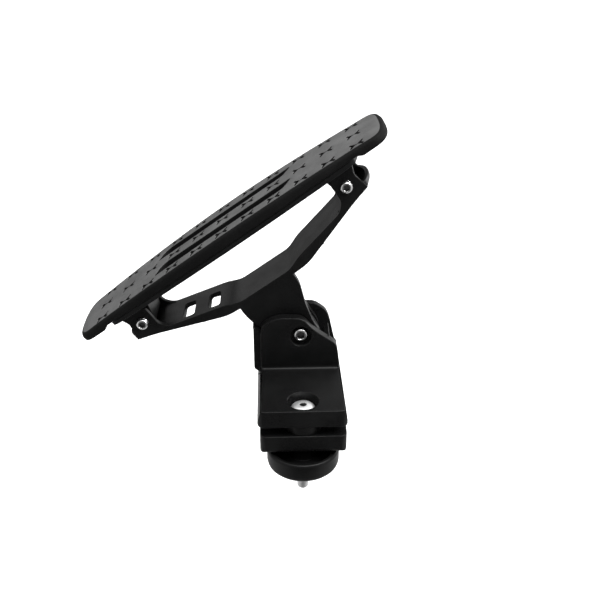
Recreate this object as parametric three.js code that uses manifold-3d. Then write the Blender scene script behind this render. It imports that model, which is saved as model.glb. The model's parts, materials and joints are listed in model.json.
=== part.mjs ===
// A tilting saddle that carries a kayak hull on a roof-rack crossbar.
// Millimetres, +Z up. X runs along the crossbar and Y across it, with the clamp bolt on the -Y side.
// The origin is on the rubber face that rests on the bar, below the front face of the upright.
import * as THREE from 'three';
import { mergeVertices } from 'three/addons/utils/BufferGeometryUtils.js';
import Module from 'manifold-3d';

const wasm = await Module();
wasm.setup();

// ---- driving dimensions ----
const GAP = 0.3;                 // clearance between pieces that touch
const TILT = 35;                 // saddle angle at rest, degrees above the bar
const PIVOT_Z = 48.7;            // tilt axis above the bar seat
const HEAD_Y = 35.5;             // middle of the saddle across the bar
const ARM_WIDTH = 49.6;
const EAR_U = 107;               // lug screws, along the saddle from its middle
const EAR_V = 87.6;              // lug screws, above the tilt axis
const PAD_HALF_LENGTH = 160;
const PAD_HALF_WIDTH = 34.5;     // at the ends
const PAD_BULGE = 5.5;           // extra half width at the middle
const PAD_END_TOP = 111.5;       // top of the pad above the tilt axis, at its ends
const PAD_CROWN = 5.5;           // extra height at the middle
const PAD_END_UNDER = 103.8;     // underside of the pad's two lips, beyond the carrier
const GROOVE_Y = 15.5;           // middle of each groove from the middle of the pad
const GROOVE_HALF_WIDTH = 6.8;
const GROOVE_FLOOR = 109.5;
const CARRIER_HALF_LENGTH = 129;
const CARRIER_BOTTOM = 102;
const CARRIER_TOP = 106.2;
const FLANGE = 4.5;              // thickness of the arm's front and rear flanges
const EAR = 5.5;                 // thickness of an ear around its lug screw
const STRAP_SLOTS = [-73.2, -49.3];
const STRAP_SLOT_HALF_WIDTH = 5.3;
const NECK_REAR = 44;            // back of the neck
const KNUCKLE = 26;              // reach of the neck below the tilt axis
const WEB_SLOPE = 0.2385;        // rise of the web from the neck out to an ear
const FOOT_TOP = 16.6;
const FOOT_BOTTOM = 0.8;
const FOOT_FRONT = -69;
const FOOT_REAR = 65;
const CHEEK = 9;                 // thickness of the front upright
const BEND = 3.4;                // radius where the front upright meets the foot
const REAR_CHEEK_FRONT = NECK_REAR + 1.7;
const REAR_CHEEK_BACK = REAR_CHEEK_FRONT + 7;
const RIB_TOP = 55.5;            // top of the rib that stops the tilt on the left
const BOLT_Y = -52.3;            // clamp bolt axis
const BOLT_SEAT = 5.8;           // floor of the recess around the clamp bolt's head
const JAW_TOP = -8.1;
const JAW_FRONT_BOTTOM = -24.7;
const BAR_HEIGHT = 27.8;         // height of the bar mouth
const MOUTH_FRONT = -12.5;
const MOUTH_REAR = 50.5;
const HINGE_Y = 58;
const HINGE_Z = -36;
const KNOB_RADIUS = 31;
const KNOB_TOP = -26.9;
const KNOB_HEIGHT = 20;
const DISH = 10;                 // depth of the dish in the knob's upper face
const CLAMP_BOLT = 5;            // radius of the clamp bolt
const CLAMP_HOLE = 5.3;
const CLAMP_TIP = -72;           // lower end of the clamp bolt
const BOLT = 4;                  // radius of the tilt bolt
const BOLT_HOLE = 4.3;
const LUG_BOLT = 3;              // radius of the lug screws
const LUG_HOLE = 3.3;
const PIN = 2.5;                 // radius of the jaw's hinge pin
const PIN_HOLE = 2.8;
const SLEEVE = 4.9;              // outer radius of the sleeves around the lug screws
const ROUND = 28;                // sides of a round part

// ---- materials ----
const plastic = (color, roughness) => new THREE.MeshStandardMaterial({ color, roughness, metalness: 0 });
const metal = (color, roughness) => new THREE.MeshStandardMaterial({ color, roughness, metalness: 1 });
const blackPlastic = () => plastic(0x18181a, 0.45);
const padRubber = () => plastic(0x5c5d60, 0.8);
const linerRubber = () => plastic(0x1c1c1c, 0.9);
const steel = () => metal(0xc8cacd, 0.28);
const brass = () => metal(0xb0904c, 0.35);
const nylon = () => plastic(0xd8d6cf, 0.6);

// ---- solids ----
function toSolid(geometry) {
  const bare = geometry.clone();
  bare.deleteAttribute('normal');
  bare.deleteAttribute('uv');
  const merged = mergeVertices(bare, 1e-4);
  return new wasm.Manifold(new wasm.Mesh({
    numProp: 3,
    vertProperties: new Float32Array(merged.attributes.position.array),
    triVerts: new Uint32Array(merged.index.array),
  }));
}

function toGeometry(solid) {
  const mesh = solid.getMesh();
  const geometry = new THREE.BufferGeometry();
  geometry.setAttribute('position', new THREE.BufferAttribute(new Float32Array(mesh.vertProperties), 3));
  geometry.setIndex(new THREE.BufferAttribute(new Uint32Array(mesh.triVerts), 1));
  geometry.computeVertexNormals();
  return geometry;
}

const join = (...parts) => toGeometry(parts.map(toSolid).reduce((a, b) => a.add(b)));
const cut = (body, ...tools) => toGeometry(tools.map(toSolid).reduce((a, b) => a.subtract(b), toSolid(body)));
const common = (a, b) => toGeometry(toSolid(a).intersect(toSolid(b)));

// A closed outline from corners [x, y, radius]; a corner with a radius is rounded.
function outline(corners) {
  const shape = new THREE.Shape();
  const count = corners.length;
  corners.forEach(([x, y, radius = 0], i) => {
    const here = new THREE.Vector2(x, y);
    const before = new THREE.Vector2(...corners[(i + count - 1) % count].slice(0, 2));
    const after = new THREE.Vector2(...corners[(i + 1) % count].slice(0, 2));
    const inDir = before.sub(here);
    const outDir = after.sub(here);
    const reach = Math.min(radius, inDir.length() * 0.49, outDir.length() * 0.49);
    const start = here.clone().addScaledVector(inDir.normalize(), reach);
    const end = here.clone().addScaledVector(outDir.normalize(), reach);
    if (i === 0) shape.moveTo(start.x, start.y);
    else shape.lineTo(start.x, start.y);
    if (reach > 0) shape.quadraticCurveTo(x, y, end.x, end.y);
  });
  shape.closePath();
  return shape;
}

const mirrorU = (corners) => corners.map(([x, y, r]) => [-x, y, r]).reverse();

// An outline in the X-Z plane, made solid from y0 to y1.
function slabY(shape, y0, y1, curveSegments = 5) {
  const geometry = new THREE.ExtrudeGeometry(shape, { depth: y1 - y0, bevelEnabled: false, curveSegments });
  return geometry.rotateX(Math.PI / 2).translate(0, y1, 0);
}

// An outline in the X-Y plane, made solid from z0 to z1.
function slabZ(shape, z0, z1, curveSegments = 5) {
  const geometry = new THREE.ExtrudeGeometry(shape, { depth: z1 - z0, bevelEnabled: false, curveSegments });
  return geometry.translate(0, 0, z0);
}

// An outline in the Y-Z plane, made solid from x0 to x1.
function slabX(shape, x0, x1, curveSegments = 5) {
  const geometry = new THREE.ExtrudeGeometry(shape, { depth: x1 - x0, bevelEnabled: false, curveSegments });
  return geometry.rotateX(Math.PI / 2).rotateZ(Math.PI / 2).translate(x0, 0, 0);
}

function block(x0, x1, y0, y1, z0, z1) {
  const box = new THREE.BoxGeometry(x1 - x0, y1 - y0, z1 - z0);
  return box.translate((x0 + x1) / 2, (y0 + y1) / 2, (z0 + z1) / 2);
}

function rodY(radius, y0, y1, x = 0, z = 0, sides = ROUND) {
  return new THREE.CylinderGeometry(radius, radius, y1 - y0, sides).translate(x, (y0 + y1) / 2, z);
}

function rodZ(radius, z0, z1, x = 0, y = 0, sides = ROUND) {
  const rod = new THREE.CylinderGeometry(radius, radius, z1 - z0, sides).rotateX(Math.PI / 2);
  return rod.translate(x, y, (z0 + z1) / 2);
}

function rodX(radius, x0, x1, y = 0, z = 0, sides = ROUND) {
  const rod = new THREE.CylinderGeometry(radius, radius, x1 - x0, sides).rotateZ(Math.PI / 2);
  return rod.translate((x0 + x1) / 2, y, z);
}

// A turned part about the Y axis: [radius, y] pairs from one end to the other, starting and ending on the axis.
function turned(profile, sides = ROUND) {
  const points = profile.map(([r, y]) => new THREE.Vector2(r, y));
  return new THREE.LatheGeometry(points, sides);
}

const ringY = (outer, inner, y0, y1, x, z, sides = ROUND) =>
  cut(rodY(outer, y0, y1, x, z, sides), rodY(inner, y0 - 1, y1 + 1, x, z, sides));

// ---- saddle head, in its own frame: u = X along the saddle, v = Z above the tilt axis ----
const armFront = HEAD_Y - ARM_WIDTH / 2;
const armRear = HEAD_Y + ARM_WIDTH / 2;

const webTop = (u) => 58.8 + (Math.abs(u) - 38) * WEB_SLOPE;

// Corners of the right half of an outline, completed by its mirror image.
const bothHalves = (right) => outline([...right, ...mirrorU(right)]);

// Side view of the arm: web, flanges and ears in one outline.
const flangeOutline = bothHalves([
  [27, 53.6, 8], [38, 58.8, 8], [90, 71.2, 10], [96.5, 79, 4], [96.5, 99.2, 5], [120.4, 99.2, 0],
  [117.6, 93, 4], [121.2, 76.8, 0], [104, 71.8, 10], [43, 49.2, 8], [30, 48.4, 3],
]);
const webOutline = bothHalves([
  [27, 53.6, 8], [38, 58.8, 8], [89, 71, 8], [97.5, 75.5, 5], [114, 76.6, 0], [114, 74.6, 0], [100, 71.4, 6],
  [90, 66.9, 8], [38, 54.6, 8], [27, 49.4, 8],
]);

// Rounded wall that closes the channel behind the ears at one end of the arm.
function endWall(sign) {
  const side = slabY(outline([
    [110, 73.9, 0], [119, 76.1, 4], [127, 79.4, 5], [129.5, 82.6, 4], [110, 82.6, 0],
  ]), armFront, armRear, 4);
  const plan = (reach) => slabZ(outline([
    [108, armFront, 0], [117.4 + reach, armFront, 4], [123.8 + reach, HEAD_Y - 12, 14],
    [123.8 + reach, HEAD_Y + 8, 16], [116 + reach, armRear, 5], [108, armRear, 0],
  ]), 60, 100, 6);
  const inside = slabY(outline([
    [100, 76.4, 0], [117, 78.4, 4], [135, 86.8, 0], [135, 100, 0], [100, 100, 0],
  ]), armFront + 1, armRear - 1, 4);
  const wall = cut(common(side, plan(3.4)), common(plan(0), inside));
  return sign > 0 ? wall : toGeometry(toSolid(wall).mirror([1, 0, 0]));
}

function saddleArm() {
  const web = slabY(webOutline, armFront, armRear);
  const frontFlange = slabY(flangeOutline, armFront, armFront + FLANGE);
  const rearFlange = slabY(flangeOutline, armRear - FLANGE, armRear);
  const leftSide = [[-30, 51, 0], [-30.5, 38, 6], [-26.5, 18, 6], [-20, -16, 14], [0, -KNUCKLE - 4, 22]];
  const frontPlate = slabY(outline([
    ...leftSide, [14, -16, 12], [14, 0, 6], [19, 20, 4], [26, 38, 5], [27, 51, 0],
  ]), armFront, armFront + 7);
  const innerRight = [[12, -14, 10], [12.5, 0, 6], [13, 20, 4], [17, 38, 5], [21, 51, 0]];
  const rearPlate = slabY(outline([...leftSide, ...innerRight]), NECK_REAR - 6, NECK_REAR);
  const middleRib = slabY(outline([...leftSide, ...innerRight]), 26, 30);
  const core = slabY(outline([
    [-26, 51, 0], [-26, 38, 6], [-22, 18, 6], [-16, -14, 12], [0, -KNUCKLE, 18], [10, -14, 10], [10.5, 0, 5],
    [10.5, 20, 4], [13, 38, 5], [16, 51, 0],
  ]), armFront + 1, NECK_REAR - 1);
  const earBosses = [-1, 1].flatMap((sign) => [
    rodY(9.5, armFront + 1, armFront + EAR, sign * EAR_U, EAR_V),
    rodY(9.5, armRear - EAR, armRear - 1, sign * EAR_U, EAR_V),
  ]);
  const crossRibs = [-61, 61].map((u) =>
    block(u - 1.5, u + 1.5, armFront + 1, armRear - 1, webTop(u) - 8, webTop(u) - 2));
  const neck = [frontPlate, rearPlate, middleRib, core];
  const body = join(web, frontFlange, rearFlange, ...neck, endWall(1), endWall(-1), ...earBosses, ...crossRibs);
  const holes = [rodY(6.4, armFront - 1, NECK_REAR + 1)];
  for (const sign of [-1, 1]) {
    holes.push(rodY(LUG_HOLE, armFront - 1, armRear + 1, sign * EAR_U, EAR_V));
  }
  for (const u of STRAP_SLOTS) {
    const left = u - STRAP_SLOT_HALF_WIDTH;
    const right = u + STRAP_SLOT_HALF_WIDTH;
    const slot = outline([[left, 17.8, 3], [right, 17.8, 3], [right, 44.5, 3], [left, 44.5, 3]]);
    holes.push(slabZ(slot, 40, 85, 4));
  }
  return cut(body, ...holes);
}

// Half width of the pad at distance u from its middle.
const padHalfWidth = (u) => PAD_HALF_WIDTH + PAD_BULGE * Math.max(0, Math.cos((Math.PI * u) / 2 / 135));
const padTop = (u) => PAD_END_TOP + PAD_CROWN * (1 - (u / PAD_HALF_LENGTH) ** 2);

function padOutline(halfLength, inset, corner, steps = 12) {
  const shape = new THREE.Shape();
  const straight = halfLength - corner;
  const side = [];
  for (let i = 0; i <= steps; i += 1) {
    const u = -straight + (2 * straight * i) / steps;
    side.push([u, padHalfWidth(u) - inset]);
  }
  shape.moveTo(side[0][0], -side[0][1]);
  side.slice(1).forEach(([u, w]) => shape.lineTo(u, -w));
  const endWidth = side[0][1];
  shape.bezierCurveTo(halfLength - 2, -endWidth, halfLength, -endWidth + corner * 0.7, halfLength, 0);
  shape.bezierCurveTo(halfLength, endWidth - corner * 0.7, halfLength - 2, endWidth, straight, endWidth);
  side.slice(0, -1).reverse().forEach(([u, w]) => shape.lineTo(u, w));
  shape.bezierCurveTo(-halfLength + 2, endWidth, -halfLength, endWidth - corner * 0.7, -halfLength, 0);
  shape.bezierCurveTo(-halfLength, -endWidth + corner * 0.7, -halfLength + 2, -endWidth, -straight, -endWidth);
  return shape;
}

function saddlePad() {
  const plan = slabZ(padOutline(PAD_HALF_LENGTH, 0, 16), 100, 125, 4).translate(0, HEAD_Y, 0);
  const steps = 12;
  const half = [];
  for (let i = 0; i <= steps; i += 1) {
    const u = (PAD_HALF_LENGTH + 2) * (1 - (2 * i) / steps);
    half.push([u, padTop(u)]);
  }
  const lip = CARRIER_HALF_LENGTH + 3;
  const seat = CARRIER_HALF_LENGTH + 1;
  const under = [
    [-PAD_HALF_LENGTH - 2, PAD_END_UNDER], [-lip, PAD_END_UNDER], [-seat, CARRIER_TOP + GAP],
    [seat, CARRIER_TOP + GAP], [lip, PAD_END_UNDER], [PAD_HALF_LENGTH + 2, PAD_END_UNDER],
  ];
  const side = slabY(outline([...half, ...under]), HEAD_Y - 60, HEAD_Y + 60);
  const body = common(side, plan);
  const grooves = [-GROOVE_Y, GROOVE_Y].map((y) => {
    const near = y - GROOVE_HALF_WIDTH;
    const far = y + GROOVE_HALF_WIDTH;
    const ends = outline([[-73, near, 5], [63, near, 5], [73, far, 5], [-63, far, 5]]);
    return slabZ(ends, GROOVE_FLOOR, 125).translate(0, HEAD_Y, 0);
  });
  return cut(body, ...grooves);
}

function padCarrier() {
  const plan = padOutline(CARRIER_HALF_LENGTH, 1.2, 10);
  const plate = slabZ(plan, CARRIER_BOTTOM, CARRIER_TOP, 3).translate(0, HEAD_Y, 0);
  const lugFront = armFront + EAR + 0.6;
  const lugRear = armRear - EAR - 0.6;
  const lugs = [-1, 1].map((sign) => {
    const u = sign * EAR_U;
    const shape = outline([
      [u - 14, CARRIER_BOTTOM + 1, 0], [u - 9.5, EAR_V - 2, 5], [u - 7, EAR_V - 9.5, 6],
      [u + 7, EAR_V - 9.5, 6], [u + 9.5, EAR_V - 2, 5], [u + 14, CARRIER_BOTTOM + 1, 0],
    ]);
    return slabY(shape, lugFront, lugRear, 4);
  });
  const ribs = [-22, 0, 22].map((y) =>
    block(-88, 88, HEAD_Y + y - 1.5, HEAD_Y + y + 1.5, CARRIER_BOTTOM - 4, CARRIER_BOTTOM + 1));
  const bores = [-1, 1].map((sign) => rodY(SLEEVE + GAP, lugFront - 1, lugRear + 1, sign * EAR_U, EAR_V));
  return cut(join(plate, ...lugs, ...ribs), ...bores);
}

// Button-head screw along Y, its head's underside at y0 and its tip at y1, with a hexagonal socket.
function buttonScrew(radius, headRadius, headHeight, y0, y1, socket) {
  const body = turned([
    [0, y0 - headHeight], [headRadius * 0.55, y0 - headHeight], [headRadius * 0.9, y0 - headHeight * 0.55],
    [headRadius, y0 - headHeight * 0.2], [headRadius, y0], [radius, y0], [radius, y1 - 0.8], [radius - 0.8, y1],
    [0, y1],
  ]);
  return cut(body, rodY(socket, y0 - headHeight - 1, y0 - headHeight * 0.35, 0, 0, 6));
}

function hexNut(acrossFlats, bore, y0, y1) {
  const radius = acrossFlats / Math.sqrt(3);
  return cut(rodY(radius, y0, y1, 0, 0, 6), rodY(bore, y0 - 1, y1 + 1, 0, 0, 18));
}

// ---- base, fixed on the bar ----
const cheekOutline = outline([
  [-35, FOOT_BOTTOM + 4, 0], [-35, 59, 6], [-21, 67, 8], [2, 66, 7], [9.5, 56.5, 4], [18, 49.8, 4], [31.5, 40.5, 5],
  [33.5, 28, 6], [34.5, FOOT_BOTTOM + 4, 0],
]);

function baseBracket() {
  const foot = slabY(outline([
    [-38.5, FOOT_BOTTOM, 0], [-38.5, 3, 0], [-36, FOOT_TOP, 1.5], [35, FOOT_TOP, 1.5], [37, 3, 0],
    [37, FOOT_BOTTOM, 0],
  ]), FOOT_FRONT, FOOT_REAR, 3);
  const plan = slabZ(outline([
    [-38.5, FOOT_FRONT, 7], [37, FOOT_FRONT, 7], [37, 48, 3], [30, FOOT_REAR, 10], [-30, FOOT_REAR, 10],
    [-38.5, 48, 3],
  ]), -60, 90);
  const boss = rodZ(16.3, JAW_TOP + GAP, FOOT_BOTTOM + 2, 0, BOLT_Y, 36);
  const frontCheek = slabY(cheekOutline, 0, CHEEK);
  const bend = slabX(outline([
    [1, FOOT_TOP - 1, 0], [-2 * BEND - 1, FOOT_TOP - 1, 0], [-2 * BEND - 1, FOOT_TOP, 0], [0, FOOT_TOP, BEND],
    [0, FOOT_TOP + 2 * BEND + 1, 0], [1, FOOT_TOP + 2 * BEND + 1, 0],
  ]), -34.8, 32.4, 6);
  const rearCheek = slabY(outline([
    [-34, FOOT_TOP - 2, 0], [-24, 46, 12], [-14, 58.5, 9], [14, 58.5, 4], [24.5, 51, 4], [28, 43, 6],
    [34, FOOT_TOP - 2, 0],
  ]), REAR_CHEEK_FRONT, REAR_CHEEK_BACK);
  const stopRib = slabY(outline([
    [-41.5, 14, 2], [-41.5, RIB_TOP, 1], [-39, RIB_TOP - 2.2, 1], [-34.5, 48.5, 1], [-34.5, FOOT_TOP - 2, 0],
    [-36, 10, 0],
  ]), CHEEK - 4, REAR_CHEEK_BACK, 3);
  const stopBlock = slabY(outline([
    [21, FOOT_TOP - 2, 0], [21, 43.5, 1], [25.5, 46.5, 1], [29, FOOT_TOP - 2, 0],
  ]), CHEEK - 2, 30, 3);
  const hingeLugs = [-1, 1].map((sign) => {
    const shape = outline([
      [MOUTH_REAR + 0.5, FOOT_BOTTOM + 3, 0], [MOUTH_REAR + 0.5, HINGE_Z - 7.5, 5],
      [FOOT_REAR, HINGE_Z - 7.5, 6], [FOOT_REAR, FOOT_BOTTOM + 3, 0],
    ]);
    return slabX(shape, sign > 0 ? 10.4 : -20.4, sign > 0 ? 20.4 : -10.4);
  });
  const rearWall = block(-20.4, 20.4, MOUTH_REAR + 0.5, FOOT_REAR, -18, FOOT_BOTTOM + 3);
  const uprights = [frontCheek, bend, rearCheek, stopRib, stopBlock];
  const body = join(common(foot, plan), boss, ...uprights, ...hingeLugs, common(rearWall, plan));
  const tools = [
    rodZ(13.1, BOLT_SEAT, 30, 0, BOLT_Y, 36),
    rodZ(CLAMP_HOLE + 0.2, -20, 30, 0, BOLT_Y, 24),
    rodY(9.4, -1, 5.5, 0, PIVOT_Z, ROUND),
    rodY(BOLT_HOLE, -1, 70, 0, PIVOT_Z, 24),
    rodX(PIN_HOLE, -30, 30, HINGE_Y, HINGE_Z, 20),
    block(-30.3, 30.3, MOUTH_FRONT - 0.3, 48.3, -5, 2.5),
  ];
  return cut(body, ...tools);
}

function barSeatLiner() {
  const plan = outline([[-30, MOUTH_FRONT, 3], [30, MOUTH_FRONT, 3], [30, 48, 3], [-30, 48, 3]]);
  const grooves = [-15, -5, 5, 15].map((x) => block(x - 0.8, x + 0.8, MOUTH_FRONT - 1, 49, -1, 0.7));
  return cut(slabZ(plan, 0, 2.2, 3), ...grooves);
}

function clampBolt() {
  const under = BOLT_SEAT + 1.9;
  const head = [
    [0, CLAMP_TIP], [CLAMP_BOLT - 1.6, CLAMP_TIP], [CLAMP_BOLT, CLAMP_TIP + 1.6], [CLAMP_BOLT, under],
    [10.4, under], [10.4, under + 1.9], [8.8, under + 4.1], [5.8, under + 5.3], [0, under + 5.3],
  ];
  const body = turned(head, 24).rotateX(Math.PI / 2);
  return cut(body, rodZ(3.6, under + 2.3, under + 10, 0, 0, 6)).translate(0, BOLT_Y, 0);
}

// ---- lower jaw, hinged behind the bar ----
const jawFloor = -BAR_HEIGHT - 2.4;

function lowerJaw() {
  const side = slabX(outline([
    [FOOT_FRONT, JAW_TOP, 1], [FOOT_FRONT, JAW_FRONT_BOTTOM, 4], [-19.8, JAW_FRONT_BOTTOM, 0], [-19.8, -36, 4],
    [-12, -44, 6], [46, -44, 8], [50.2, -30.2, 0], [49.8, jawFloor, 0], [MOUTH_FRONT - 1.5, jawFloor, 0],
    [MOUTH_FRONT - 1.5, JAW_TOP, 2],
  ]), -37, 37);
  const plan = slabZ(outline([
    [-36.5, FOOT_FRONT, 7], [36.5, FOOT_FRONT, 7], [36.5, 30, 8], [26, 50.2, 6], [-26, 50.2, 6], [-36.5, 30, 8],
  ]), -60, 10);
  const knuckle = join(rodX(7, -10, 10, HINGE_Y, HINGE_Z, 24), block(-10, 10, 40, HINGE_Y, -43, -30.4));
  const body = join(common(side, plan), knuckle);
  const slotFront = BOLT_Y - 6;
  const slotRear = BOLT_Y + 8;
  const slot = outline([[-5.9, slotFront, 4], [5.9, slotFront, 4], [5.9, slotRear, 4], [-5.9, slotRear, 4]]);
  const tools = [slabZ(slot, -40, 0), rodX(PIN_HOLE, -12, 12, HINGE_Y, HINGE_Z, 20)];
  for (const sign of [-1, 1]) {
    tools.push(block(sign > 0 ? 9 : -31, sign > 0 ? 31 : -9, -44, -27, -30, JAW_FRONT_BOTTOM + 9));
    tools.push(block(sign > 0 ? 3 : -31, sign > 0 ? 31 : -3, -4, 36, -50, -38));
  }
  return cut(body, ...tools);
}

function jawLiner() {
  const z = jawFloor + GAP;
  return slabX(outline([
    [MOUTH_FRONT - 1.2, z, 0], [46, z, 0], [46, z + 2.1, 1.5], [MOUTH_FRONT + 1.2, z + 2.1, 3],
    [MOUTH_FRONT + 1.2, JAW_TOP - 2, 1], [MOUTH_FRONT - 1.2, JAW_TOP - 2, 1],
  ]), -25, 25, 3);
}

// ---- clamp knob ----
function clampKnob() {
  const top = KNOB_TOP;
  const bottom = top - KNOB_HEIGHT;
  const body = turned([
    [0, bottom], [24, bottom], [KNOB_RADIUS - 3.4, bottom + 1], [KNOB_RADIUS - 0.8, bottom + 3.6],
    [KNOB_RADIUS, bottom + 7], [KNOB_RADIUS, top - 3], [KNOB_RADIUS - 1.2, top - 1.2],
    [KNOB_RADIUS - 3.4, top - 1], [KNOB_RADIUS - 5.2, top - 2.6], [KNOB_RADIUS - 7.4, top - DISH],
    [11, top - DISH], [9.5, top], [0, top],
  ], 48).rotateX(Math.PI / 2);
  return cut(body, rodZ(7.5, bottom - 1, top + 1, 0, 0, 24)).translate(0, BOLT_Y, 0);
}

function knobInsert() {
  const ring = cut(rodZ(7.2, KNOB_TOP - 14, KNOB_TOP - 0.1, 0, 0, 24), rodZ(CLAMP_HOLE, -60, 0, 0, 0, 24));
  return ring.translate(0, BOLT_Y, 0);
}

function flatRingZ(outer, inner, z0, z1) {
  return cut(rodZ(outer, z0, z1, 0, 0, 32), rodZ(inner, z0 - 1, z1 + 1, 0, 0, 24)).translate(0, BOLT_Y, 0);
}

// ---- assembly ----
const group = new THREE.Group();
const head = new THREE.Group();
head.position.set(0, 0, PIVOT_Z);
head.rotation.y = -THREE.MathUtils.degToRad(TILT);
group.add(head);

function add(parent, name, geometry, material, x = 0, z = 0) {
  const mesh = new THREE.Mesh(geometry, material);
  mesh.name = name;
  mesh.position.set(x, 0, z);
  parent.add(mesh);
}

add(group, 'base_bracket', baseBracket(), blackPlastic());
add(group, 'bar_seat_liner', barSeatLiner(), linerRubber());
add(group, 'clamp_bolt', clampBolt(), steel());
add(group, 'clamp_bolt_washer', flatRingZ(12, CLAMP_HOLE, BOLT_SEAT + GAP, BOLT_SEAT + 1.6), steel());
add(group, 'lower_jaw', lowerJaw(), blackPlastic());
add(group, 'jaw_liner', jawLiner(), linerRubber());
add(group, 'jaw_hinge_pin', rodX(PIN, -23.5, 23.5, HINGE_Y, HINGE_Z, 20), steel());
for (const [side, x] of [['left', -22.3], ['right', 20.8]]) {
  const disc = rodX(5, x, x + 1.5, HINGE_Y, HINGE_Z, 20);
  const hole = rodX(PIN_HOLE, x - 1, x + 3, HINGE_Y, HINGE_Z, 20);
  add(group, `hinge_pin_clip_${side}`, cut(disc, hole), steel());
}
add(group, 'knob_washer', flatRingZ(12, CLAMP_HOLE, -26.6, -25.1), steel());
add(group, 'clamp_knob', clampKnob(), blackPlastic());
add(group, 'knob_insert', knobInsert(), brass());

const rearWasher = REAR_CHEEK_BACK + GAP;
const rearNut = REAR_CHEEK_BACK + 2.1;
const pivotBolt = buttonScrew(BOLT, 6.5, 3.8, 5.2, REAR_CHEEK_BACK + 10.5, 2.9);
const discFront = ringY(10.8, BOLT_HOLE, CHEEK + GAP, armFront - GAP, 0, 0);
const discRear = ringY(12, BOLT_HOLE, NECK_REAR + GAP, REAR_CHEEK_FRONT - GAP, 0, 0);
add(group, 'pivot_bolt', pivotBolt, steel(), 0, PIVOT_Z);
add(group, 'friction_disc_front', discFront, nylon(), 0, PIVOT_Z);
add(group, 'friction_disc_rear', discRear, nylon(), 0, PIVOT_Z);
add(group, 'pivot_washer', ringY(8, BOLT_HOLE, rearWasher, rearWasher + 1.5, 0, 0), steel(), 0, PIVOT_Z);
add(group, 'pivot_nut', hexNut(13, BOLT_HOLE, rearNut, rearNut + 6.9), steel(), 0, PIVOT_Z);

add(head, 'saddle_arm', saddleArm(), blackPlastic());
add(head, 'pivot_sleeve', ringY(6.1, BOLT_HOLE, armFront + 0.1, NECK_REAR - 0.1, 0, 0, 24), steel());
add(head, 'pad_carrier', padCarrier(), blackPlastic());
add(head, 'saddle_pad', saddlePad(), padRubber());
for (const [side, sign] of [['left', -1], ['right', 1]]) {
  const u = sign * EAR_U;
  const lugScrew = buttonScrew(LUG_BOLT, 5.3, 3, armFront - 1.6, armRear + 7.4, 2.2);
  const washer = (radius, y0, y1) => ringY(radius, LUG_HOLE, y0, y1, 0, 0, 24);
  const sleeve = ringY(SLEEVE, LUG_HOLE, armFront + EAR + 0.4, armRear - EAR - 0.4, 0, 0, 24);
  add(head, `lug_screw_${side}`, lugScrew, steel(), u, EAR_V);
  add(head, `lug_washer_front_${side}`, washer(5.2, armFront - 1.3, armFront - GAP), steel(), u, EAR_V);
  add(head, `lug_washer_rear_${side}`, washer(6.2, armRear + GAP, armRear + 1.3), steel(), u, EAR_V);
  add(head, `lug_nut_${side}`, hexNut(10, LUG_HOLE, armRear + 1.6, armRear + 6.4), steel(), u, EAR_V);
  add(head, `lug_sleeve_${side}`, sleeve, nylon(), u, EAR_V);
}

export default group;
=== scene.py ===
import json
import math

import bmesh
import bpy
from mathutils import Matrix, Vector
from mathutils.geometry import delaunay_2d_cdt


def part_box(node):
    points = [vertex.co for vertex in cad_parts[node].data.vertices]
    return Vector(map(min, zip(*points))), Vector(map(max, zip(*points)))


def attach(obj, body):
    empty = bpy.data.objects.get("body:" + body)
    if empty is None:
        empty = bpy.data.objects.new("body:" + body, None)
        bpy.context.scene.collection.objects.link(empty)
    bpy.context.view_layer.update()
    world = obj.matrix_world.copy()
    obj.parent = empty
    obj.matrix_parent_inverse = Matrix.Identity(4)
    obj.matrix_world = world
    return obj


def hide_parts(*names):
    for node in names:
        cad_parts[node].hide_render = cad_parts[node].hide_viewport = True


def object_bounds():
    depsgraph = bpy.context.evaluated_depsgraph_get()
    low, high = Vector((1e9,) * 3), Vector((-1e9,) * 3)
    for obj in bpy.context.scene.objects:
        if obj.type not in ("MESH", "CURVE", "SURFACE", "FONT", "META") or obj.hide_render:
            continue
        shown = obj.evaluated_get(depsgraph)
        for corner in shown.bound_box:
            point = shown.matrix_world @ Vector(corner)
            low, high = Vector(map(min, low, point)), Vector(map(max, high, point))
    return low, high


# The looks of a tilting kayak saddle on a crossbar clamp. Metres, +Z up, X along the crossbar, Y across it.
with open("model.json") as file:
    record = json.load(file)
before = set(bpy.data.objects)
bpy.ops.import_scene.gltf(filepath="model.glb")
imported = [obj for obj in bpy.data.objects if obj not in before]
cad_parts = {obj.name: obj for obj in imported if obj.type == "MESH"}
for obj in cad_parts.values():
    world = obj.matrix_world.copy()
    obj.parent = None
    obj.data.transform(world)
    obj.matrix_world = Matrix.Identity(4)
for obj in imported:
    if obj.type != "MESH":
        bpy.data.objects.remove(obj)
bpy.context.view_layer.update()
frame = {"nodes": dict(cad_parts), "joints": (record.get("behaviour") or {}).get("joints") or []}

MM = 0.001
TAU = 2 * math.pi
REST_TILT = math.radians(35)          # saddle angle at rest

# ---- camera ----
IMAGE_SIDE = 600                      # pixels
FOCAL_PIXELS = 853
SENSOR = 36
CAMERA_AT = Vector((-0.0235, -0.6513, 0.4093))
CAMERA_ELEVATION = math.radians(26.5)
CAMERA_AZIMUTH = math.radians(-2.0)


def make_camera():
    data = bpy.data.cameras.new("camera")
    data.sensor_width = SENSOR
    data.lens = FOCAL_PIXELS / IMAGE_SIDE * SENSOR
    data.clip_start = 0.01
    camera = bpy.data.objects.new("camera", data)
    camera.location = CAMERA_AT
    camera.rotation_euler = (math.pi / 2 - CAMERA_ELEVATION, 0, CAMERA_AZIMUTH)
    bpy.context.scene.collection.objects.link(camera)
    bpy.context.scene.camera = camera


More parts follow.
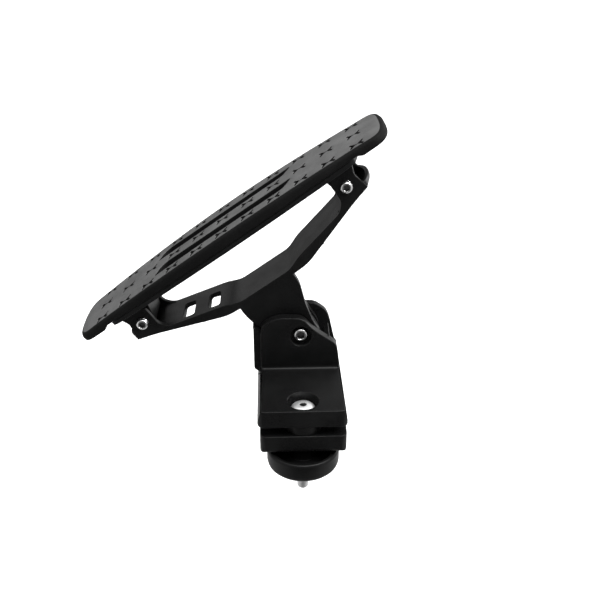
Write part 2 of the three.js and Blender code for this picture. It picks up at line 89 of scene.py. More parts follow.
# ---- node trees ----
EDGE_STARTS = 0.015                   # how far a normal has turned where a worn edge begins
EDGE_FULL = 0.12                      # and where it is fully worn
PLASTIC_SPECULAR = 0.16
RUBBER_SPECULAR = 0.14


class Tree:
    """Adds nodes and links to one node tree."""

    def __init__(self, tree):
        self.tree = tree

    def node(self, kind, settings=None, **inputs):
        made = self.tree.nodes.new(kind)
        for key, value in (settings or {}).items():
            setattr(made, key, value)
        for key, value in inputs.items():
            self.put(made, key.replace("_", " "), value)
        return made

    def put(self, node, socket, value):
        target = node.inputs[int(socket)] if socket.isdigit() else node.inputs[socket]
        if isinstance(value, bpy.types.NodeSocket):
            self.tree.links.new(value, target)
        else:
            target.default_value = value

    def math(self, operation, first, second=0.0, clamp=False):
        made = self.tree.nodes.new("ShaderNodeMath")
        made.operation = operation
        made.use_clamp = clamp
        self.put(made, "0", first)
        self.put(made, "1", second)
        return made.outputs[0]

    def ramp(self, value, low, high, to_low=0.0, to_high=1.0):
        made = self.tree.nodes.new("ShaderNodeMapRange")
        made.interpolation_type = "SMOOTHSTEP"
        for socket, number in (("Value", value), ("From Min", low), ("From Max", high), ("To Min", to_low),
                               ("To Max", to_high)):
            self.put(made, socket, number)
        return made.outputs[0]

    def mix(self, amount, first, second):
        made = self.tree.nodes.new("ShaderNodeMix")
        made.data_type = "RGBA"
        self.put(made, "0", amount)
        self.put(made, "6", first)
        self.put(made, "7", second)
        return made.outputs[2]

    def noise(self, scale, detail=2.0, stretch=(1, 1, 1)):
        place = self.node("ShaderNodeTexCoord").outputs["Object"]
        if stretch != (1, 1, 1):
            place = self.node("ShaderNodeMapping", Vector=place, Scale=stretch).outputs[0]
        made = self.node("ShaderNodeTexNoise", Vector=place, Scale=scale, Detail=detail, Roughness=0.6)
        return made.outputs[0]

    def cells(self, scale):
        place = self.node("ShaderNodeTexCoord").outputs["Object"]
        return self.node("ShaderNodeTexVoronoi", Vector=place, Scale=scale).outputs["Distance"]

    def edges(self, radius):
        """1 on outer and inner edges, 0 on flat stretches."""
        rounded = self.node("ShaderNodeBevel", {"samples": 4}, Radius=radius).outputs[0]
        flat = self.node("ShaderNodeNewGeometry").outputs["Normal"]
        dot = self.node("ShaderNodeVectorMath", {"operation": "DOT_PRODUCT"})
        self.put(dot, "0", rounded)
        self.put(dot, "1", flat)
        return self.ramp(self.math("SUBTRACT", 1.0, dot.outputs["Value"]), EDGE_STARTS, EDGE_FULL)

    def bump(self, height, distance, strength=1.0):
        return self.node("ShaderNodeBump", Height=height, Distance=distance, Strength=strength).outputs[0]


def grey(value, warmth=0.0):
    """A linear grey, slightly warm or cool."""
    return (value * (1 + warmth), value, value * (1 - warmth), 1)


def material(name, metallic=0.0, ior=1.5):
    made = bpy.data.materials.new(name)
    made.use_nodes = True
    tree = Tree(made.node_tree)
    shader = made.node_tree.nodes["Principled BSDF"]
    shader.inputs["Metallic"].default_value = metallic
    shader.inputs["IOR"].default_value = ior
    return made, tree, shader


def moulded_plastic(name, dark, light, worn, rough, grain=1500, depth=0.00012):
    """Black nylon with a spark-eroded grain, faint flow clouds, scuffs and paler worn edges."""
    made, t, shader = material(name)
    shader.inputs["Specular IOR Level"].default_value = PLASTIC_SPECULAR
    clouds = t.ramp(t.noise(26, 4), 0.35, 0.7)
    specks = t.noise(grain, 2)
    scuffs = t.ramp(t.noise(240, 5, (1, 0.12, 1)), 0.62, 0.8)
    edge = t.math("MULTIPLY", t.edges(0.0009), t.ramp(t.noise(320, 3), 0.3, 0.75))
    tone = t.mix(clouds, grey(dark, -0.01), grey(light, -0.01))
    tone = t.mix(t.math("MULTIPLY", specks, 0.35), tone, grey(light * 1.5))
    tone = t.mix(t.math("MULTIPLY", edge, 0.55), tone, grey(worn))
    t.put(shader, "Base Color", tone)
    roughness = t.math("ADD", t.ramp(clouds, 0.0, 1.0, rough - 0.04, rough + 0.05),
                       t.math("MULTIPLY", t.math("SUBTRACT", specks, 0.5), 0.18))
    roughness = t.math("SUBTRACT", roughness, t.math("MULTIPLY", scuffs, 0.07))
    t.put(shader, "Roughness", t.math("SUBTRACT", roughness, t.math("MULTIPLY", edge, 0.08), True))
    t.put(shader, "Normal", t.bump(specks, depth, 0.6))
    return made


def soft_rubber(name, dark, light, rough, pores=1100, depth=0.00025):
    """Matte rubber with a pebbled skin, dust in its pores and slow tone changes."""
    made, t, shader = material(name, ior=1.45)
    shader.inputs["Specular IOR Level"].default_value = RUBBER_SPECULAR
    clouds = t.ramp(t.noise(34, 5), 0.3, 0.72)
    specks = t.noise(pores, 3)
    pebbles = t.cells(pores)
    edge = t.edges(0.0008)
    tone = t.mix(clouds, grey(dark), grey(light))
    tone = t.mix(t.ramp(specks, 0.5, 0.75, 0.0, 0.5), tone, grey(light * 1.25))
    tone = t.mix(t.ramp(specks, 0.25, 0.42, 0.45, 0.0), tone, grey(dark * 0.72))
    tone = t.mix(t.math("MULTIPLY", edge, 0.2), tone, grey(light * 1.5))
    t.put(shader, "Base Color", tone)
    t.put(shader, "Roughness", t.ramp(specks, 0.2, 0.8, rough - 0.08, rough + 0.08))
    height = t.math("ADD", t.math("MULTIPLY", pebbles, 0.7), t.math("MULTIPLY", specks, 0.6))
    t.put(shader, "Normal", t.bump(height, depth, 0.7))
    return made


def bright_metal(name, tone, rough, warmth=0.0):
    """Plated or polished metal with fine marks, small dents and dulled patches."""
    made, t, shader = material(name, metallic=1.0)
    clouds = t.ramp(t.noise(90, 4), 0.3, 0.75)
    lines = t.noise(900, 3)
    base = t.mix(clouds, grey(tone * 0.86, warmth), grey(tone, warmth))
    base = t.mix(t.ramp(lines, 0.55, 0.8, 0.0, 0.35), base, grey(tone * 0.6, warmth))
    t.put(shader, "Base Color", base)
    wear = t.math("ADD", t.math("MULTIPLY", clouds, 0.09), t.math("MULTIPLY", lines, 0.12))
    t.put(shader, "Roughness", t.math("ADD", wear, rough - 0.08, True))
    t.put(shader, "Normal", t.bump(lines, 0.00006, 0.4))
    return made


def smooth_nylon(name, tone, rough):
    """Natural nylon with faint clouding and a fine skin."""
    made, t, shader = material(name)
    clouds = t.ramp(t.noise(120, 4), 0.3, 0.7)
    t.put(shader, "Base Color", t.mix(clouds, grey(tone * 0.85, 0.02), grey(tone, 0.03)))
    t.put(shader, "Roughness", t.ramp(clouds, 0.0, 1.0, rough - 0.06, rough + 0.06))
    t.put(shader, "Normal", t.bump(t.noise(1400, 2), 0.0001, 0.4))
    shader.inputs["Subsurface Weight"].default_value = 0.1
    shader.inputs["Subsurface Radius"].default_value = (0.002, 0.002, 0.0018)
    return made


PLASTIC = moulded_plastic("moulded_black", 0.003, 0.0048, 0.03, 0.33)
CARRIER_PLASTIC = moulded_plastic("moulded_carrier", 0.0032, 0.005, 0.02, 0.36)
KNOB_PLASTIC = moulded_plastic("moulded_knob", 0.0024, 0.004, 0.02, 0.36, 1900)
PAD_GREY = soft_rubber("pad_grey", 0.063, 0.09, 0.82)
PAD_BLACK = soft_rubber("pad_black", 0.0018, 0.003, 0.7)
LINER_RUBBER = soft_rubber("liner_rubber", 0.010, 0.017, 0.85)
STEEL = bright_metal("stainless_steel", 0.92, 0.21)
# The hex sockets' steel is rougher, and its dark tone of 0.2 is painted shade that darkens the inside of
# each socket.
SOCKET_PAINTED_SHADE = bright_metal("socket_painted_shade_steel", 0.2, 0.4)
ZINC = bright_metal("zinc_plated_steel", 0.97, 0.5)
BRASS = bright_metal("turned_brass", 0.5, 0.34, warmth=0.28)
NYLON = smooth_nylon("natural_nylon", 0.62, 0.5)


# ---- pieces ----
def finish_piece(name, mesh, body, looks, nodes, sharp=40):
    """Links a mesh as a piece on its body, in place of the CAD nodes named."""
    for look in looks:
        mesh.materials.append(look)
    made = bpy.data.objects.new(name, mesh)
    bpy.context.scene.collection.objects.link(made)
    mesh.shade_smooth()
    mesh.set_sharp_from_angle(angle=math.radians(sharp))
    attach(made, body)
    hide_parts(*nodes)
    return made


WELD = 1e-6                           # vertices closer than this are one
FLAT_ANGLE = math.radians(1)          # faces that turn less than this are one flat face
ROUNDED_ANGLE = math.radians(26)      # edges that turn more than this are rounded
MOULD_SHARP = 50                      # degrees


def moulded(node, body, look, radius):
    """A moulded piece: the node's shape with every edge rounded."""
    made_mesh = bmesh.new()
    made_mesh.from_mesh(frame["nodes"][node].data)
    bmesh.ops.remove_doubles(made_mesh, verts=made_mesh.verts, dist=WELD)
    bmesh.ops.dissolve_limit(made_mesh, angle_limit=FLAT_ANGLE, verts=made_mesh.verts, edges=made_mesh.edges)
    bmesh.ops.triangulate(made_mesh, faces=made_mesh.faces)
    mesh = bpy.data.meshes.new(node + "_moulded")
    made_mesh.to_mesh(mesh)
    made_mesh.free()
    piece = finish_piece(node + "_moulded", mesh, body, [look], [node], MOULD_SHARP)
    edge = piece.modifiers.new("edges", "BEVEL")
    edge.width = radius
    edge.segments = 2
    edge.limit_method = "ANGLE"
    edge.angle_limit = ROUNDED_ANGLE
    edge.use_clamp_overlap = False
    normals = piece.modifiers.new("normals", "WEIGHTED_NORMAL")
    normals.keep_sharp = True


# ---- frames of the pieces that turn ----
def joint_point(name):
    return Vector(next(joint["pos_m"] for joint in frame["joints"] if joint["name"] == name))


PIVOT = joint_point("saddle_tilt")
HEAD_Y = PIVOT.y
HEAD = Matrix.Translation((0, 0, PIVOT.z)) @ Matrix.Rotation(-REST_TILT, 4, "Y")
ALONG_Y = Matrix.Rotation(-math.pi / 2, 4, "X")       # a turned piece's axis, laid along +Y


def local_box(node, place):
    """A node's lowest and highest corners in the frame that place leads from."""
    back = place.inverted()
    points = [back @ vertex.co for vertex in frame["nodes"][node].data.vertices]
    low = Vector([min(point[i] for point in points) for i in range(3)])
    high = Vector([max(point[i] for point in points) for i in range(3)])
    return low, high


def middle(node):
    low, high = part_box(node)
    return (low + high) / 2


# ---- outlines ----
CORNER_STEPS = 8


def rounded(corners):
    """A closed outline from (x, y, radius) corners, each rounded by a parabola."""
    points = []
    count = len(corners)
    for i, (x, y, radius) in enumerate(corners):
        here = Vector((x, y))
        before = Vector(corners[i - 1][:2]) - here
        after = Vector(corners[(i + 1) % count][:2]) - here
        reach = min(radius, before.length * 0.49, after.length * 0.49)
        if reach == 0:
            points.append(here)
            continue
        start = here + before.normalized() * reach
        end = here + after.normalized() * reach
        for k in range(CORNER_STEPS + 1):
            t = k / CORNER_STEPS
            points.append(start * (1 - t) ** 2 + here * 2 * t * (1 - t) + end * t * t)
    return points


def moved_in(points, distance):
    """A closed counterclockwise outline moved inwards by distance, or outwards if it is negative."""
    count = len(points)
    moved = []
    for i, here in enumerate(points):
        first = (here - points[i - 1]).normalized()
        second = (points[(i + 1) % count] - here).normalized()
        normal = Vector((-first.y - second.y, first.x + second.x))
        normal.normalize()
        stretch = max(0.5, normal.dot(Vector((-second.y, second.x))))
        moved.append(here + normal * distance / stretch)
    return moved


def inside(point, outline):
    crossings = 0
    for i, a in enumerate(outline):
        b = outline[i - 1]
        if (a.y > point.y) != (b.y > point.y):
            crossings += point.x < a.x + (point.y - a.y) / (b.y - a.y) * (b.x - a.x)
    return crossings % 2 == 1


# ---- saddle pad: black rubber with a grey tread skin ----
PAD_LOW, PAD_HIGH = local_box("saddle_pad", HEAD)
PAD_HALF_LENGTH = PAD_HIGH.x
PAD_BULGE = 5.5 * MM                  # extra half width at the middle
PAD_END_HALF_WIDTH = (PAD_HIGH.y - PAD_LOW.y) / 2 - PAD_BULGE
PAD_BULGE_REACH = 135 * MM
PAD_CROWN = 5.5 * MM                  # extra height at the middle of its length
PAD_CROWN_ACROSS = 0.9 * MM
PAD_CORNER = 16 * MM
PAD_LIP = 3.4 * MM                    # rounding of the top edge
PAD_FOOT = 1.2 * MM                   # rounding of the bottom edge
PAD_STEP = 2.7 * MM                   # the middle of the underside is this much higher than its ends
PAD_STEP_AT = 131 * MM
PAD_STEP_LENGTH = 3 * MM
GREY_DEPTH = 0.1                      # share of the lip that the grey skin covers, from the top
GROOVE_Y = 15.5 * MM
GROOVE_HALF_WIDTH = 6.8 * MM
GROOVE_DEPTH = 5.2 * MM
TREAD_ROWS = 11
TREAD_PITCH = 26.4 * MM
TREAD_DEPTH = 1.3 * MM
TREAD_LANE = 0.74                     # outer lanes, as a share of the pad's half width
TREAD_SHIFT = 1 * MM                  # the rows sit a little towards the high end
TREAD_CLEAR = 1.2 * MM
GROOVE_TIP = 73 * MM                  # half length of a groove's longer side
GROOVE_HEEL = 63 * MM                 # and of its shorter side
GROOVE_CORNER = 5 * MM
SIDE_STEPS = 56                       # steps along a straight side of the pad, an even number
END_STEPS = 18
LIP_STEPS = 6
FOOT_STEPS = 3
SIDE_DRAFT = 0.25 * MM                # the sides' bulge at mid height
TOP_SPACING = 5.5 * MM                # grid of the top's free points
MARK_RINGS = ((-0.45, 0.0), (-0.15, 0.12), (0.0, 0.45))   # (inset, depth) in mm of a mark's rounded lip
MARK_FLOOR_INSET = 0.25
BLACK_BELOW = 0.25 * MM               # parts of the top sunk further than this are black
PAD_SHARP = 45                        # degrees


def pad_half_width(u):
    return PAD_END_HALF_WIDTH + PAD_BULGE * max(0.0, math.cos(math.pi / 2 * u / PAD_BULGE_REACH))


def pad_top(u, y):
    length_share = (u / PAD_HALF_LENGTH) ** 2
    width_share = (y / pad_half_width(u)) ** 2
    return PAD_HIGH.z - PAD_CROWN * length_share - PAD_CROWN_ACROSS * width_share


def pad_under(u):
    rise = min(1.0, max(0.0, (PAD_STEP_AT - abs(u)) / PAD_STEP_LENGTH + 0.5))
    return PAD_LOW.z + PAD_STEP * rise


def pad_outline():
    """The pad from above, counterclockwise from the low end of its front side."""
    straight = PAD_HALF_LENGTH - PAD_CORNER
    side = [Vector((-straight + 2 * straight * i / SIDE_STEPS, 0)) for i in range(SIDE_STEPS + 1)]
    for point in side:
        point.y = -pad_half_width(point.x)
    width = pad_half_width(straight)
    controls = [(straight, -width), (PAD_HALF_LENGTH - 2 * MM, -width),
                (PAD_HALF_LENGTH, -width + PAD_CORNER * 0.7), (PAD_HALF_LENGTH, 0)]
    end = []
    for i in range(1, END_STEPS + 1):
        t = i / END_STEPS
        weights = ((1 - t) ** 3, 3 * t * (1 - t) ** 2, 3 * t * t * (1 - t), t ** 3)
        end.append(Vector((sum(w * c[0] for w, c in zip(weights, controls)),
                           sum(w * c[1] for w, c in zip(weights, controls)))))
    quarter = side[SIDE_STEPS // 2:] + end
    half = quarter + [Vector((p.x, -p.y)) for p in reversed(quarter[:-1])]
    return half + [Vector((-p.x, p.y)) for p in reversed(half[1:-1])]


def bow_tie():
    """A grip mark: a short bar with two long prongs at each end."""
    bar, stem, reach, spread, blade = (size * MM for size in (0.8, 1.4, 6.8, 4.9, 1.7))
    right = [
        (stem, -bar), (reach - blade, -spread), (reach, -spread + blade * 0.6), (stem + 1.8 * blade, 0),
        (reach, spread - blade * 0.6), (reach - blade, spread), (stem, bar),
    ]
    left = [(-x, y) for x, y in reversed(right)]
    return [Vector(point) for point in right + left]


def pad_marks():
    """(outline, depth) of every groove and grip mark in the pad's top."""
    marks = []
    for y in (-GROOVE_Y, GROOVE_Y):
        near, far = y - GROOVE_HALF_WIDTH, y + GROOVE_HALF_WIDTH
        corners = [(-GROOVE_TIP, near), (GROOVE_HEEL, near), (GROOVE_TIP, far), (-GROOVE_HEEL, far)]
        marks.append((rounded([(u, v, GROOVE_CORNER) for u, v in corners]), GROOVE_DEPTH))
    for row in range(TREAD_ROWS):
        u = TREAD_PITCH * (row - (TREAD_ROWS - 1) / 2) + TREAD_SHIFT
        for lane in (-TREAD_LANE, 0, TREAD_LANE):
            centre = Vector((u, lane * pad_half_width(u)))
            marks.append(([point + centre for point in bow_tie()], TREAD_DEPTH))
    return marks


def closed_edges(count, first=0):
    return [(first + i, first + (i + 1) % count) for i in range(count)]


def triangulated(points, edges):
    """A constrained triangulation: its points, its faces and the input point behind each point."""
    flat, _, faces, origins, _, _ = delaunay_2d_cdt(points, edges, [], 1, 1e-7)
    return flat, faces, origins


def make_pad():
    outline = pad_outline()
    count = len(outline)
    mesh = bmesh.new()

    def ring(inset, height):
        return [mesh.verts.new((p.x, p.y, height(p.x, p.y))) for p in moved_in(outline, inset)]

    def band(lower, upper, look):
        for i in range(count):
            face = mesh.faces.new((lower[i - 1], lower[i], upper[i], upper[i - 1]))
            face.material_index = look

    rings = [ring(PAD_FOOT, lambda u, y: pad_under(u))]
    for k in range(1, FOOT_STEPS + 1):
        angle = math.pi / 2 * k / FOOT_STEPS
        drop = PAD_FOOT * (1 - math.sin(angle))
        rise = PAD_FOOT * (1 - math.cos(angle))
        rings.append(ring(drop + SIDE_DRAFT, lambda u, y, r=rise: pad_under(u) + r))
    rings.append(ring(0, lambda u, y: (pad_under(u) + pad_top(u, y)) / 2))
    for k in range(LIP_STEPS + 1):
        angle = math.pi / 2 * k / LIP_STEPS
        inset = PAD_LIP * (1 - math.cos(angle)) + SIDE_DRAFT * (1 - k / LIP_STEPS)
        drop = PAD_LIP * (1 - math.sin(angle))
        rings.append(ring(inset, lambda u, y, d=drop: pad_top(u, y) - d))
    for i, (lower, upper) in enumerate(zip(rings, rings[1:])):
        on_lip = (i - (len(rings) - 1 - LIP_STEPS)) / LIP_STEPS
        band(lower, upper, 0 if on_lip >= 1 - GREY_DEPTH else 1)

    # The top: rings around every mark give it a rounded lip, a wall and a floor.
    border = [Vector((v.co.x, v.co.y)) for v in rings[-1]]
    points, edges, depths = list(border), closed_edges(count), [0.0] * count
    guards = []
    for mark, depth in pad_marks():
        guards.append(moved_in(mark, -TREAD_CLEAR))
        for inset, sunk in (*MARK_RINGS, (MARK_FLOOR_INSET, depth / MM)):
            edge = moved_in(mark, inset * MM)
            edges += closed_edges(len(edge), len(points))
            points += edge
            depths += [sunk * MM] * len(edge)
    inner = moved_in(outline, PAD_LIP + 2 * MM)
    columns, lanes = int(PAD_HALF_LENGTH / TOP_SPACING), int(PAD_HIGH.y / TOP_SPACING)
    for i in range(-columns, columns + 1):
        for j in range(-lanes, lanes + 1):
            point = Vector((i * TOP_SPACING, j * TOP_SPACING))
            if inside(point, inner) and not any(inside(point, guard) for guard in guards):
                points.append(point)
                depths.append(0.0)
    flat, faces, origins = triangulated(points, edges)
    top = []
    for place, origin in zip(flat, origins):
        depth = depths[origin[0]] if origin else 0.0
        if origin and origin[0] < count:
            top.append(rings[-1][origin[0]])
        else:
            top.append(mesh.verts.new((place.x, place.y, pad_top(place.x, place.y) - depth)))
    for face in faces:
        corners = [top[i] for i in face]
        if len(set(corners)) == 3:
            made = mesh.faces.new(corners)
            sunk = sum(pad_top(v.co.x, v.co.y) - v.co.z for v in corners) / 3
            made.material_index = 1 if sunk > BLACK_BELOW else 0

    # The underside, flat across.
    base = [Vector((v.co.x, v.co.y)) for v in rings[0]]
    _, faces, origins = triangulated(base, closed_edges(count))
    for face in faces:
        made = mesh.faces.new([rings[0][origins[i][0]] for i in reversed(face)])
        made.material_index = 1
    mesh.transform(HEAD @ Matrix.Translation((0, HEAD_Y, 0)))
    bmesh.ops.recalc_face_normals(mesh, faces=mesh.faces)
    data = bpy.data.meshes.new("pad")
    mesh.to_mesh(data)
    mesh.free()
    looks = [PAD_GREY, PAD_BLACK]
    pad = finish_piece("saddle_pad_rubber", data, "saddle", looks, ["saddle_pad"], PAD_SHARP)


# ---- turned and threaded metal ----
TURN = 64                             # points around a turned piece
THREAD_TURN = 28                      # points around a thread
THREAD_LEVELS = 4                     # levels in each turn of a thread
CORE = 0.84                           # a thread's core, as a share of its shank's radius
METAL_SHARP = 32                      # degrees
NUT_SHARP = 20
NUT_CORNER_STEPS = 3
DOME_STEPS = 9


def lofted(rings, closed_ring=False):
    """A closed skin from (radius, height) rings about the Z axis.

    A radius is a number, a function of the angle, or None for a point.
    """
    mesh = bmesh.new()
    made = []
    for radius, height in rings:
        if radius is None:
            made.append([mesh.verts.new((0, 0, height))])
            continue
        ring = []
        for i in range(TURN):
            angle = TAU * i / TURN
            r = radius(angle) if callable(radius) else radius
            ring.append(mesh.verts.new((r * math.cos(angle), r * math.sin(angle), height)))
        made.append(ring)
    if closed_ring:
        made.append(made[0])
    for lower, upper in zip(made, made[1:]):
        for i in range(TURN):
            corners = [lower[i - 1 if len(lower) > 1 else 0], lower[i if len(lower) > 1 else 0],
                       upper[i if len(upper) > 1 else 0], upper[i - 1 if len(upper) > 1 else 0]]
            corners = list(dict.fromkeys(corners))
            if len(corners) > 2:
                mesh.faces.new(corners)
    bmesh.ops.recalc_face_normals(mesh, faces=mesh.faces)
    return mesh


def hexagon(flat_radius, limit=None):
    """Radius of a hexagon at an angle, cut off by a circle if limit is given."""
    def radius(angle):
        turn = (angle + math.pi / 6) % (math.pi / 3) - math.pi / 6
        r = flat_radius / math.cos(turn)
        return min(r, limit) if limit else r
    return radius


def threaded(core, outer, pitch, low, high):
    """A threaded rod with chamfered ends, as one skin that follows the helix."""
    mesh = bmesh.new()
    levels = int((high - low) / pitch * THREAD_LEVELS)
    rows = []
    for level in range(levels + 1):
        row = []
        for i in range(THREAD_TURN):
            angle = TAU * i / THREAD_TURN
            z = low + (high - low) * level / levels
            phase = (z / pitch - i / THREAD_TURN) % 1
            r = core + (outer - core) * min(1.0, 1.6 * (1 - abs(2 * phase - 1)))
            chamfer = min(z - low, high - z)
            r = min(r, core * 0.86 + max(0.0, chamfer))
            row.append(mesh.verts.new((r * math.cos(angle), r * math.sin(angle), z)))
        rows.append(row)
    for lower, upper in zip(rows, rows[1:]):
        for i in range(THREAD_TURN):
            mesh.faces.new((lower[i - 1], lower[i], upper[i], upper[i - 1]))
    mesh.faces.new(list(reversed(rows[0])))
    mesh.faces.new(rows[-1])
    return mesh


def metal_piece(name, mesh, place, body, looks, nodes, sharp=METAL_SHARP):
    mesh.transform(place)
    data = bpy.data.meshes.new(name)
    mesh.to_mesh(data)
    mesh.free()
    finish_piece(name, data, body, looks, nodes, sharp)


def button_head(radius, height, socket, seat):
    """Rings of a button head whose underside is at height 0 and whose top is at -height."""
    dome = []
    flat = socket * 1.2
    for k in range(DOME_STEPS):
        angle = math.pi / 2 * k / DOME_STEPS
        dome.append((flat + (radius - flat) * math.cos(angle), -height * (0.16 + 0.84 * math.sin(angle))))
    rim = hexagon(socket)
    under = [(seat, 0.0), (radius * 0.985, 0.0), (radius, -height * 0.06)]
    opening = [(flat, -height), (socket * 1.17, -height * 0.97), (rim, -height * 0.88)]
    floor = [(hexagon(socket * 0.985), height * 0.25), (socket * 0.5, height * 0.32), (None, height * 0.45)]
    return under + dome + opening + floor


def make_screw(node, place, body, shank, head, socket, tip, thread_from, pitch, nodes, look=None):
    """A button-head screw along the place's Z axis, head underside at 0."""
    radius, height = head
    rings = button_head(radius, height, socket, shank)[::-1]
    core_from = thread_from + 0.4 * MM
    rings += [(shank, 0.2 * MM), (shank, thread_from), (shank * CORE, core_from), (None, core_from)]
    mesh = lofted(rings)
    # Faces inside the hex socket take the second look, whose dark tone is painted shade in the socket.
    for face in mesh.faces:
        centre = face.calc_center_median()
        if math.hypot(centre.x, centre.y) < socket * 1.12 and centre.z < height * 0.5:
            face.material_index = 1
    rod = threaded(shank * CORE, shank, pitch, thread_from + 0.2 * MM, tip)
    data = bpy.data.meshes.new("thread")
    rod.to_mesh(data)
    rod.free()
    mesh.from_mesh(data)
    bpy.data.meshes.remove(data)
    metal_piece(node + "_screw", mesh, place, body, [look or STEEL, SOCKET_PAINTED_SHADE], nodes)


def washer(node, place, body, outer, inner, thick):
    soft = min(0.25 * MM, thick * 0.3)
    rings = [(inner, soft), (inner + soft, 0), (outer - soft, 0), (outer, soft)]
    rings += [(outer, thick - soft), (outer - soft, thick), (inner + soft, thick), (inner, thick - soft)]
    metal_piece(node + "_ring", lofted(rings, True), place, body, [STEEL], [node])


def nut(node, place, body, flat_radius, bore, thick):
    corner = flat_radius / math.cos(math.pi / 6)
    slope = 0.45 * (corner - flat_radius)
    face = flat_radius * 0.98
    side = hexagon(flat_radius, corner * 0.995)
    rings = [(bore, 0.5 * MM), (bore + 0.5 * MM, 0), (face, 0)]
    steps = NUT_CORNER_STEPS
    for k in range(1, steps + 1):
        rings.append((hexagon(flat_radius, face + (corner - face) * k / steps), slope * k / steps))
    rings.append((side, slope * 1.1))
    rings.append((side, thick - slope * 1.1))
    for k in range(steps, 0, -1):
        rings.append((hexagon(flat_radius, face + (corner - face) * k / steps), thick - slope * k / steps))
    rings += [(face, thick), (bore + 0.5 * MM, thick), (bore, thick - 0.5 * MM)]
    metal_piece(node + "_hex", lofted(rings, True), place, body, [STEEL], [node], NUT_SHARP)


def along_y(x, y, z):
    return Matrix.Translation((x, y, z)) @ ALONG_Y


def size_y(node):
    low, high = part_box(node)
    return low.y, high.y


# Radii and pitches of the three threads, and how far each thread runs from its tip or the head.
M6, M6_HOLE, M6_HEAD, M6_SOCKET, M6_PITCH = (size * MM for size in (3, 3.3, 5.3, 2.5, 1))
M8, M8_HOLE, M8_HEAD, M8_SOCKET, M8_PITCH = (size * MM for size in (4, 4.3, 6.5, 3.2, 1.25))
M10, M10_HOLE, M10_HEAD, M10_SOCKET, M10_PITCH = (size * MM for size in (5, 5.3, 10.4, 2.6, 1.5))
LUG_THREAD = 16 * MM
PIVOT_THREAD = 18 * MM
CLAMP_THREAD_FROM = 22 * MM
LUG_WASHERS = {"front": 5.2 * MM, "rear": 6.2 * MM}
PIVOT_WASHER = 8 * MM
CLAMP_WASHER = 12 * MM
LUG_NUT = 5 * MM
PIVOT_NUT = 6.5 * MM
PIVOT_HEAD_HEIGHT = 3.8 * MM
CLAMP_HEAD_HEIGHT = 5.3 * MM


def make_lug_fasteners(side):
    centre = middle(f"lug_sleeve_{side}")
    head_front, tip = size_y(f"lug_screw_{side}")
    seat = size_y(f"lug_washer_front_{side}")[0] - 0.3 * MM
    head = (M6_HEAD, seat - head_front)
    make_screw(f"lug_screw_{side}", along_y(centre.x, seat, centre.z), "saddle", M6, head, M6_SOCKET,
               tip - seat, tip - seat - LUG_THREAD, M6_PITCH, [f"lug_screw_{side}"])
    for end, outer in LUG_WASHERS.items():
        node = f"lug_washer_{end}_{side}"
        low, high = size_y(node)
        washer(node, along_y(centre.x, low, centre.z), "saddle", outer, M6_HOLE, high - low)
    low, high = size_y(f"lug_nut_{side}")
    nut(f"lug_nut_{side}", along_y(centre.x, low, centre.z), "saddle", LUG_NUT, M6_HOLE, high - low)


def make_pivot_fasteners():
    head_front, tip = size_y("pivot_bolt")
    seat = head_front + PIVOT_HEAD_HEIGHT
    make_screw("pivot_bolt", along_y(0, seat, PIVOT.z), "base", M8, (M8_HEAD, PIVOT_HEAD_HEIGHT), M8_SOCKET,
               tip - seat, tip - seat - PIVOT_THREAD, M8_PITCH, ["pivot_bolt"])
    low, high = size_y("pivot_washer")
    washer("pivot_washer", along_y(0, low, PIVOT.z), "base", PIVOT_WASHER, M8_HOLE, high - low)
    low, high = size_y("pivot_nut")
    nut("pivot_nut", along_y(0, low, PIVOT.z), "base", PIVOT_NUT, M8_HOLE, high - low)


def make_clamp_fasteners():
    low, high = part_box("clamp_bolt")
    axis = (low + high) / 2
    seat = high.z - CLAMP_HEAD_HEIGHT
    down = Matrix.Translation((axis.x, axis.y, seat)) @ Matrix.Rotation(math.pi, 4, "X")
    make_screw("clamp_bolt", down, "base", M10, (M10_HEAD, CLAMP_HEAD_HEIGHT), M10_SOCKET,
               seat - low.z, CLAMP_THREAD_FROM, M10_PITCH, ["clamp_bolt"], ZINC)
    for node, body in (("clamp_bolt_washer", "base"), ("knob_washer", "thrust_washer")):
        low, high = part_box(node)
        place = Matrix.Translation((axis.x, axis.y, low.z))
        washer(node, place, body, CLAMP_WASHER, M10_HOLE, high.z - low.z)


# ---- light and floor ----
FLOOR_DROP = 0.16                     # floor below the lowest point
FLOOR_HALF = 12.0
SUN_POWER = 2.3
SUN_ANGLE = math.radians(60)
SUN_TURN = (math.radians(8), math.radians(22), 0)


def make_stage():
    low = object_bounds()[0]
    floor_mesh = bpy.data.meshes.new("floor")
    height = low[2] - FLOOR_DROP
    corners = [(x * FLOOR_HALF, y * FLOOR_HALF, height) for x, y in ((-1, -1), (1, -1), (1, 1), (-1, 1))]
    floor_mesh.from_pydata(corners, [], [(0, 1, 2, 3)])
    floor = bpy.data.objects.new("floor", floor_mesh)
    bpy.context.scene.collection.objects.link(floor)
    made, t, shader = material("pale_floor")
    t.put(shader, "Base Color", t.mix(t.noise(3, 2), grey(0.86), grey(0.9)))
    shader.inputs["Roughness"].default_value = 0.9
    floor_mesh.materials.append(made)
    floor.visible_glossy = False


def area_light(name, at, aim, size, power):
    data = bpy.data.lights.new(name, "AREA")
    data.energy = power
    data.size = size
    made = bpy.data.objects.new(name, data)
    made.location = at
    made.rotation_euler = (Vector(aim) - Vector(at)).to_track_quat("-Z", "Y").to_euler()
    bpy.context.scene.collection.objects.link(made)


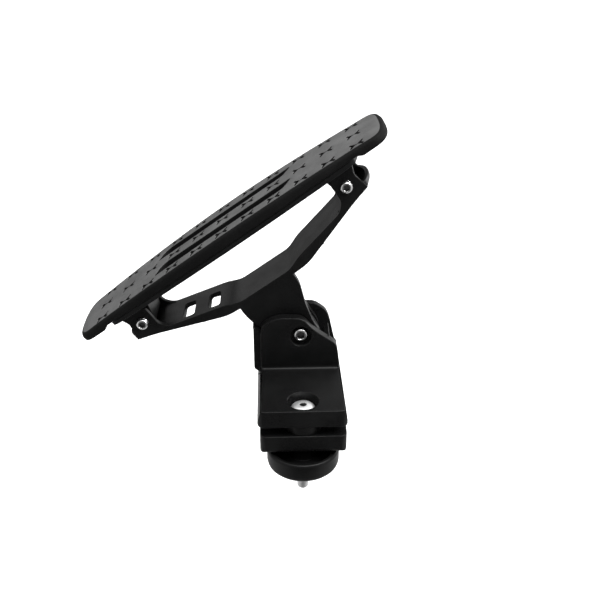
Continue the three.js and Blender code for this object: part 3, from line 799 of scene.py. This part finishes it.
def make_lights():
    sun = bpy.data.lights.new("sun", "SUN")
    sun.energy = SUN_POWER
    sun.angle = SUN_ANGLE
    sun_object = bpy.data.objects.new("sun", sun)
    sun_object.rotation_euler = SUN_TURN
    sun_object.visible_glossy = False
    bpy.context.scene.collection.objects.link(sun_object)
    area_light("top_box", (0.15, -0.25, 0.95), (0, -0.05, 0.05), 0.36, 4)
    area_light("side_box", (0.9, 0.55, 0.25), (0, 0, 0.05), 0.4, 2.5)
    area_light("right_box", (0.42, -0.2, 0.52), (0.02, 0.03, 0.2), 0.25, 2.4)

    world = bpy.data.worlds.new("studio")
    world.use_nodes = True
    bpy.context.scene.world = world
    t = Tree(world.node_tree)
    background = world.node_tree.nodes["Background"]
    place = t.node("ShaderNodeTexCoord").outputs["Generated"]
    axes = t.node("ShaderNodeSeparateXYZ", Vector=place)
    across, behind, rise = axes.outputs["X"], axes.outputs["Y"], axes.outputs["Z"]
    above = t.ramp(rise, 0.5, 0.95, 0.12, 2.2)
    right_behind = t.math("MULTIPLY", t.ramp(across, 0.1, 0.45), t.ramp(behind, 0.2, 0.7))
    left_behind = t.math("MULTIPLY", t.ramp(across, -0.1, -0.3), t.ramp(behind, 0.6, 0.85))
    left_behind = t.math("MULTIPLY", left_behind, t.ramp(rise, -0.2, 0.3, 0.2, 0.6))
    below = t.math("MULTIPLY", t.ramp(rise, -0.25, -0.5, 0.0, 0.6), t.ramp(behind, -0.75, -0.35))
    sides = t.ramp(t.math("ABSOLUTE", across), 0.4, 0.8, 0.0, 0.7)
    upright = t.math("MAXIMUM", above, below)
    strength = t.math("MAXIMUM", upright, t.math("MAXIMUM", right_behind, left_behind))
    strength = t.math("MAXIMUM", strength, sides)
    seen = t.node("ShaderNodeLightPath").outputs["Is Camera Ray"]
    t.put(background, "Color", (1, 1, 1, 1))
    t.put(background, "Strength", t.math("MAXIMUM", strength, seen))


make_camera()
make_stage()
make_lights()
bpy.context.scene.view_settings.view_transform = "Standard"

moulded("base_bracket", "base", PLASTIC, 0.7 * MM)
moulded("lower_jaw", "jaw", PLASTIC, 0.7 * MM)
moulded("saddle_arm", "saddle", PLASTIC, 0.5 * MM)
moulded("pad_carrier", "saddle", CARRIER_PLASTIC, 0.6 * MM)
moulded("clamp_knob", "knob", KNOB_PLASTIC, 0.6 * MM)
make_pad()
make_pivot_fasteners()
make_clamp_fasteners()
for side in ("left", "right"):
    make_lug_fasteners(side)

# ---- CAD nodes that stay ----
KEPT = {                              # the other kept nodes are steel
    "bar_seat_liner": LINER_RUBBER, "jaw_liner": LINER_RUBBER, "knob_insert": BRASS,
    "friction_disc_front": NYLON, "friction_disc_rear": NYLON,
    "lug_sleeve_left": NYLON, "lug_sleeve_right": NYLON,
}
for node, obj in frame["nodes"].items():
    if obj.hide_render:
        continue
    obj.data.materials.clear()
    obj.data.materials.append(KEPT.get(node, STEEL))
